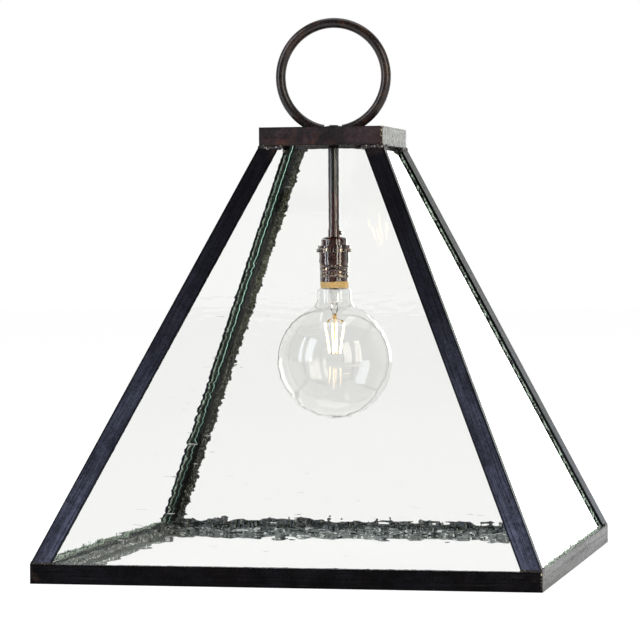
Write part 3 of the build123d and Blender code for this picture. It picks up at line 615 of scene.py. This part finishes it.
def putty_paint(name, dark, top, deep, foot, speck, shadow_width, drawn=(1.0, 1.0, 1.0)):
    """Putty in fine crumbs, dark ones and ones whose tone changes down the pane, paler where it trapped air.
    Within a set width of the post's corner it is painted black, a painted shade in the corner behind the
    post."""
    paint, tree, shader = new_material(name, roughness=0.6, specular_ior_level=0.08)
    place = object_place(tree)
    spot = vectors(tree, "MULTIPLY", place, drawn)
    bubbles = ramp(tree, noise(tree, spot, bubble_scale, 3.0, 0.65), 0.55, 0.62)
    crumbs = ramp(tree, noise(tree, spot, crumb_scale, 3.0, 0.65), 0.46, 0.54)
    x, y, height = split(tree, vectors(tree, "ABSOLUTE", place))
    tone = mix_colour(tree, ramp(tree, height, putty_top_z, putty_deep_z), (*top, 1.0), (*deep, 1.0))
    at_foot = ramp(tree, height, bar_top + putty_foot_far, bar_top + putty_foot_near)
    tone = mix_colour(tree, at_foot, tone, (*foot, 1.0))
    tone = mix_colour(tree, crumbs, (*dark, 1.0), tone)
    tone = mix_colour(tree, bubbles, tone, (*speck, 1.0))
    corner = maths(tree, "MULTIPLY_ADD", height, -run / rise, half_base + post_foot_z * run / rise)
    from_corner = maths(tree, "SUBTRACT", corner, maths(tree, "MINIMUM", x, y))
    # Painted shade: black beside the post's corner.
    corner_shadow = ramp(tree, from_corner, shadow_width + corner_shadow_out, shadow_width - corner_shadow_in)
    tree.links.new(mix_colour(tree, corner_shadow, tone, corner_shadow_black), shader.inputs["Base Color"])
    relief(tree, shader, maths(tree, "ADD", crumbs, bubbles), putty_relief)
    return paint


putty = putty_paint(
    "glazing_sealant", dark=(0.0015, 0.0017, 0.0012), top=(0.092, 0.092, 0.046), deep=(0.024, 0.027, 0.020),
    foot=(0.125, 0.145, 0.175), speck=(0.42, 0.44, 0.36), shadow_width=0.0145)
# On the side panes the putty is painted pale, a painted reflection of the white room that the glass shows
# edge-on.
putty_painted_reflection = putty_paint(
    "glazing_sealant_painted_reflection", dark=(0.020, 0.030, 0.022), top=(0.50, 0.66, 0.54), deep=(0.56, 0.72, 0.60),
    foot=(0.50, 0.62, 0.54), speck=(0.85, 0.92, 0.86), shadow_width=0.0, drawn=(1.0, 0.3, 1.0))
film_paints = {"front": putty, "back": putty, "left": putty_painted_reflection, "right": putty_painted_reflection}
dress(putty, "glazing_beads")
sealant_film, sealant_step, sealant_under = 0.00018, 0.0009, 0.004
swell_scale, lobe_scale, lobe_seed = 60.0, 170.0, 7.0
press_least, press_swell, press_lobe = 0.0014, 0.0022, 0.0052
squeezed = {"front": (0.1, 0.1), "back": (1.0, 1.0), "left": (1.0, 1.0), "right": (0.6, 3.0)}
slope = sqrt(rise ** 2 + run ** 2)
face_out, face_up = Vector((rise, 0.0, run)) / slope, Vector((-run, 0.0, rise)) / slope
pane_outer = max(vert.co.dot(face_out) for vert in nodes["glass_pane_right"].data.vertices)
turn_of_side = {"right": 0.0, "back": pi / 2, "left": pi, "front": -pi / 2}


def on_pane(along, up):
    """A point just outside the right pane's outer face, by its distance from the middle and its height."""
    return face_out * (pane_outer + sealant_film / 2) + Vector((0, along, 0)) + face_up * up


def squeeze_out(shape, start, end, inward, reach, seed):
    """A strip of sealant on an edge of the steel, pressed past it in lumps. Its hidden side is straight."""
    start, end, inward = Vector(start), Vector(end), Vector(inward)
    steps = round((end - start).length / sealant_step)
    strip = bmesh.ops.create_grid(shape, x_segments=steps, y_segments=3, size=1.0)["verts"]
    for vert in strip:
        share, across = (vert.co.x + 1.0) / 2, (vert.co.y + 1.0) / 2
        at = start.lerp(end, share)
        metres = share * (end - start).length
        swell = fractal(Vector((metres * swell_scale, seed, 0.0)), 0.7, 2.1, 3)
        lobe = max(0.0, fractal(Vector((metres * lobe_scale, seed, lobe_seed)), 0.8, 2.0, 3))
        press = reach * (press_least + press_swell * swell + press_lobe * lobe)
        at = at + inward * (across * (sealant_under + press) - sealant_under)
        vert.co = on_pane(at.x, at.y)


foot_up = (bar_top - on_pane(0.0, 0.0).z) / face_up.z
head_up, foot_reach = foot_up + slope, half_base - post_leg
edge_in = Vector((-slope, -run)).normalized()
leg_line = [Vector(end) + edge_in * post_leg for end in ((half_base, foot_up), (half_cap, head_up))]
leg_seed, foot_seed = 3.1, 9.4
for number, (side, reaches) in enumerate(squeezed.items()):
    shape = bmesh.new()
    for sign, reach in zip((-1, 1), reaches):
        low_end, high_end = (Vector((sign * point.x, point.y)) for point in leg_line)
        inwards = (sign * edge_in.x, edge_in.y)
        squeeze_out(shape, low_end, high_end, inwards, reach, leg_seed * number + sign)
    foot_ends = (-foot_reach, foot_up), (foot_reach, foot_up)
    squeeze_out(shape, *foot_ends, (0.0, 1.0), reaches[0], foot_seed + number)
    turn = Matrix.Rotation(turn_of_side[side], 3, "Z")
    bmesh.ops.rotate(shape, verts=shape.verts, cent=(0, 0, 0), matrix=turn)
    bmesh.ops.recalc_face_normals(shape, faces=shape.faces)
    film = new_piece(f"squeezed_sealant_{side}", shape, "root", "glazing_sealant", film_paints[side])
    body = film.modifiers.new("body", "SOLIDIFY")
    body.thickness, body.offset = sealant_film, 0.0
tab_steel = mottled_paint("pane_tab_steel", (0.030, 0.030, 0.032), (0.070, 0.066, 0.062), 240.0, 0.3, 0.5,
                          0.00004, metallic=0.7)
dress(tab_steel, "pane_tabs")


# A threaded nipple passes through the plate with a blackened nut above and a washer below, and a plastic bush
# lines its mouth for the cord. The nipples and the washer are plated steel.
black_nut = mottled_paint("blackened_nut", (0.006, 0.006, 0.007), (0.020, 0.018, 0.017), 500.0, 0.3, 0.5,
                          0.00005)
black_plastic = mottled_paint("bush_plastic", (0.008, 0.008, 0.008), (0.014, 0.014, 0.014), 900.0, 0.4, 0.6,
                              0.00004)
plated = mottled_paint("plated_steel", (0.42, 0.41, 0.38), (0.60, 0.58, 0.54), 380.0, 0.2, 0.38, 0.00003,
                       metallic=1.0)
dress(black_nut, "top_lock_nut")
dress(black_plastic, "cord_bush")
dress(plated, "threaded_nipple", "lock_washer", "joint_nipple")


# The stem is drawn brass tube and the lampholder's outside is turned brass, both bronzed nearly black and
# lacquered. The bronzing is blacker up the stem, and rubbed through to copper on thread crests and knurled
# edges.
bronze, given, made = new_group(
    "bronzed_brass",
    {"Dark": (0.012, 0.0018, 0.0004, 1.0), "Warm": (0.105, 0.016, 0.003, 1.0),
     "Copper": (0.64, 0.50, 0.34, 1.0), "Rubbed": 0.0, "Black": 0.0},
    surface,
)
streak_draw, streak_scale = (1.0, 1.0, 0.25), 500.0
blot_scale, grit_scale, rubbed_scale = 150.0, 1400.0, 420.0
stem_black, stem_brown_length, stem_fade = (0.0030, 0.0042, 0.0038, 1.0), 0.034, 0.012
bronze_relief = 0.000005
place = object_place(bronze)
streaks = noise(bronze, vectors(bronze, "MULTIPLY", place, streak_draw), streak_scale, 3.0, 0.6)
blots = noise(bronze, place, blot_scale, 4.0, 0.65, 0.5)
grit = noise(bronze, place, grit_scale, 2.0)
warm = ramp(bronze, blended(bronze, streaks, 0.4, blots), 0.44, 0.72)
tone = mix_colour(bronze, warm, given["Dark"], given["Warm"])
tone = mix_colour(bronze, given["Black"], tone, stem_black)
rubbed = ramp(bronze, noise(bronze, place, rubbed_scale, 3.0), 0.50, 0.62)
rubbed = maths(bronze, "MULTIPLY", given["Rubbed"], rubbed)
bronze.links.new(mix_colour(bronze, rubbed, tone, given["Copper"]), made["Colour"])
roughness = ramp(bronze, blended(bronze, blots, 0.6, grit), 0.3, 0.7, 0.05, 0.15)
bronze.links.new(roughness, made["Roughness"])
bronze.links.new(maths(bronze, "ADD", blots, maths(bronze, "MULTIPLY", grit, 0.5)), made["Height"])
black_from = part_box("stem")[0].z + stem_brown_length


def bronze_paint(name, crest_radius, crest_depth):
    """Bronzed brass that is rubbed near one distance from the axis, where its crests stand."""
    paint, tree, shader = new_material(name, specular_ior_level=0.9, coat_weight=1.0)
    spot = object_place(tree)
    flat = vectors(tree, "MULTIPLY", spot, (1.0, 1.0, 0.0))
    rubbed = near(tree, vectors(tree, "LENGTH", flat), crest_radius, crest_depth, crest_depth)
    tree.links.new(maths(tree, "MULTIPLY", rubbed, 0.8), shader.inputs["Metallic"])
    black = ramp(tree, split(tree, spot)[2], black_from, black_from + stem_fade, 0.0, 0.95)
    wear(tree, shader, add_group(tree, bronze, {"Rubbed": rubbed, "Black": black}), bronze_relief)
    return paint


no_crest, thread_crest, knurl_crest = 1.0, 0.01595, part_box("shade_ring")[1].x
dress(bronze_paint("bronzed_tube", no_crest, crest_depth=0.001), "stem", "socket_cap", "set_screw")
dress(bronze_paint("bronzed_shell", thread_crest, crest_depth=0.00013), "socket_shell")
dress(bronze_paint("bronzed_knurl", knurl_crest, crest_depth=0.00008), "shade_ring")


# Inside the lampholder a fibre sleeve, whose lip shows below the shell, keeps the live screw shell off the
# outer one. A moulded block above carries the centre contact and the two terminal screws.
fibre = mottled_paint("sleeve_fibre", (0.46, 0.26, 0.07), (0.74, 0.50, 0.19), 650.0, 0.35, 0.6, 0.00012)
brass = mottled_paint("bare_brass", (0.62, 0.44, 0.19), (0.78, 0.58, 0.28), 300.0, 0.2, 0.36, 0.00003,
                      metallic=1.0)
ceramic = mottled_paint("holder_ceramic", (0.62, 0.60, 0.55), (0.74, 0.72, 0.67), 500.0, 0.35, 0.5, 0.00004)
dress(fibre, "insulating_sleeve")
dress(brass, "screw_shell", "centre_contact", "terminal_screws")
dress(ceramic, "holder_block")


# The lamp screws into the holder by a pressed metal cap, with black glass and a solder button on top of it.
# The black glass keeps the button, which meets the centre contact, off the cap.
cap_metal = mottled_paint("lamp_cap_metal", (0.58, 0.57, 0.54), (0.72, 0.71, 0.68), 420.0, 0.22, 0.34,
                          0.00003, metallic=1.0)
black_glass = mottled_paint("lamp_black_glass", (0.006, 0.006, 0.008), (0.014, 0.014, 0.017), 700.0, 0.05,
                            0.14, 0.00002)
solder = mottled_paint("solder", (0.50, 0.50, 0.49), (0.66, 0.66, 0.64), 900.0, 0.25, 0.4, 0.00008,
                       metallic=1.0)
dress(cap_metal, "bulb_screw_base")
dress(black_glass, "bulb_insulator")
dress(solder, "bulb_tip_contact")


# The globe is blown clear glass with a light smoke, drawn in to a neck that is sealed in the lamp's cap. Its
# wall is under a millimetre thick, so its rim reads as a bright line inside a thin dark one.
smoke_draw, smoke_scale, smoke_lift = (1.0, 1.0, 0.5), 34.0, 1.03
wave_scale, wave_depth = 26.0, 0.00012


def clear_glass(name, tint, seen_through, ior):
    """Smooth glass with slow streaks in its tint."""
    paint, tree, shader = new_material(name, roughness=0.0, ior=ior, transmission_weight=1.0)
    spot = object_place(tree)
    streaky = noise(tree, vectors(tree, "MULTIPLY", spot, smoke_draw), smoke_scale, 3.0, 0.5, 0.5)
    pale = tuple(min(1.0, part * smoke_lift) for part in tint)
    tree.links.new(mix_colour(tree, streaky, (*tint, 1.0), (*pale, 1.0)), shader.inputs["Base Color"])
    relief(tree, shader, noise(tree, spot, wave_scale, 1.0), wave_depth)
    shadow = add_node(tree, "ShaderNodeLightPath").outputs["Is Shadow Ray"]
    pass_through(tree, shader, shadow, seen_through)
    return paint


def swing(shape, last, centre, angle, steps):
    """Carries an outline on from its last point along an arc about a centre in the XZ plane."""
    turned = bmesh.ops.spin(shape, geom=[last], cent=centre, axis=(0, 1, 0), angle=angle, steps=steps)
    return next(part for part in turned["geom_last"] if isinstance(part, bmesh.types.BMVert))


def draw(shape, last, x, z):
    """Carries an outline on in a straight line to a radius and a height."""
    point = bmesh.ops.extrude_vert_indiv(shape, verts=[last])["verts"][0]
    point.co = (x, 0.0, z)
    return point


def turn_on_axis(shape, steps):
    """Spins an outline right round Z, closes its seam and poles and turns its faces outwards."""
    outline = shape.verts[:] + shape.edges[:]
    bmesh.ops.spin(shape, geom=outline, cent=(0, 0, 0), axis=(0, 0, 1), angle=2 * pi, steps=steps,
                   use_merge=True)
    bmesh.ops.remove_doubles(shape, verts=shape.verts, dist=0.000005)
    bmesh.ops.recalc_face_normals(shape, faces=shape.faces)
    for face in shape.faces:
        face.smooth = True


globe_low, globe_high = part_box("bulb_globe")
globe_radius = globe_high.x
globe_centre_z = globe_low.z + globe_radius
neck_radius, neck_blend, throat_radius = 0.0186, 0.013, 0.01175
shoulder_radius, shoulder_z, globe_wall = 0.004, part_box("bulb_screw_base")[0].z, 0.0006
globe_steps, flare_steps, shoulder_steps, round_steps = 56, 10, 8, 96
flare_x = neck_radius + neck_blend
flare_rise = sqrt((globe_radius + neck_blend) ** 2 - flare_x ** 2)
flare_z = globe_centre_z + flare_rise
tilt = Vector((flare_x, flare_rise)).angle_signed(Vector((1.0, 0.0)))
shape = bmesh.new()
last = shape.verts.new((0.0, 0.0, globe_low.z))
last = swing(shape, last, (0, 0, globe_centre_z), -(pi / 2 + tilt), globe_steps)
last = swing(shape, last, (flare_x, 0, flare_z), tilt, flare_steps)
last = draw(shape, last, neck_radius, shoulder_z - shoulder_radius)
shoulder_centre = (neck_radius - shoulder_radius, 0, shoulder_z - shoulder_radius)
last = swing(shape, last, shoulder_centre, -pi / 2, shoulder_steps)
last = draw(shape, last, throat_radius, shoulder_z)
draw(shape, last, throat_radius, globe_high.z)
turn_on_axis(shape, round_steps)
smoked = clear_glass("globe_glass", tint=(0.912, 0.912, 0.906), seen_through=(0.93, 0.93, 0.93), ior=1.45)
globe = new_piece("globe", shape, "bulb", "globe_glass", smoked)
wall = globe.modifiers.new("wall", "SOLIDIFY")
wall.thickness, wall.offset = globe_wall, -1.0
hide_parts("bulb_globe")
mount = clear_glass("mount_glass", tint=(0.96, 0.96, 0.955), seen_through=(0.96, 0.96, 0.96), ior=1.47)
dress(mount, "bulb_stem")


# The mount holds four light-emitting rods between two small hubs of wire. Each rod is coated along its
# length, so it glows evenly, and five turns of bright wire bind the leads to the mount's glass post.
coats = (0.80, 0.50, 0.12, 1.0), (0.95, 0.70, 0.28, 1.0)
glows = (1.0, 0.60, 0.24, 1.0), (1.0, 0.72, 0.36, 1.0)
grain_of_coat = 1200.0
rods, tree, shader = new_material("filament_coat", roughness=0.5, emission_strength=7.0)
grains = noise(tree, object_place(tree), grain_of_coat, 2.0)
tree.links.new(mix_colour(tree, grains, *coats), shader.inputs["Base Color"])
tree.links.new(mix_colour(tree, grains, *glows), shader.inputs["Emission Color"])
dress(rods, "bulb_filaments")
lead_wire = mottled_paint("lead_wire", (0.75, 0.50, 0.20), (0.90, 0.68, 0.36), 800.0, 0.15, 0.3, 0.00002,
                          metallic=1.0)
dress(lead_wire, "bulb_wires")
coil_radius, coil_wire, coil_turns, coil_steps, coil_sides = 0.0024, 0.00035, 5, 24, 8
coil_rise, coil_drop = 0.0058, 0.001
shape = bmesh.new()
coil_start = Matrix.Translation((coil_radius, 0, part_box("bulb_wires")[1].z - coil_drop))
section = coil_start @ Matrix.Rotation(pi / 2, 4, "X")
bmesh.ops.create_circle(shape, cap_ends=True, segments=coil_sides, radius=coil_wire, matrix=section)
bmesh.ops.spin(shape, geom=shape.faces[:], cent=(0, 0, 0), axis=(0, 0, 1), angle=2 * pi * coil_turns,
               steps=coil_steps * coil_turns, dvec=(0, 0, coil_rise / coil_steps / coil_turns))
bmesh.ops.recalc_face_normals(shape, faces=shape.faces)
for face in shape.faces:
    face.smooth = True
new_piece("mount_coil", shape, "bulb", "support_wire", lead_wire)
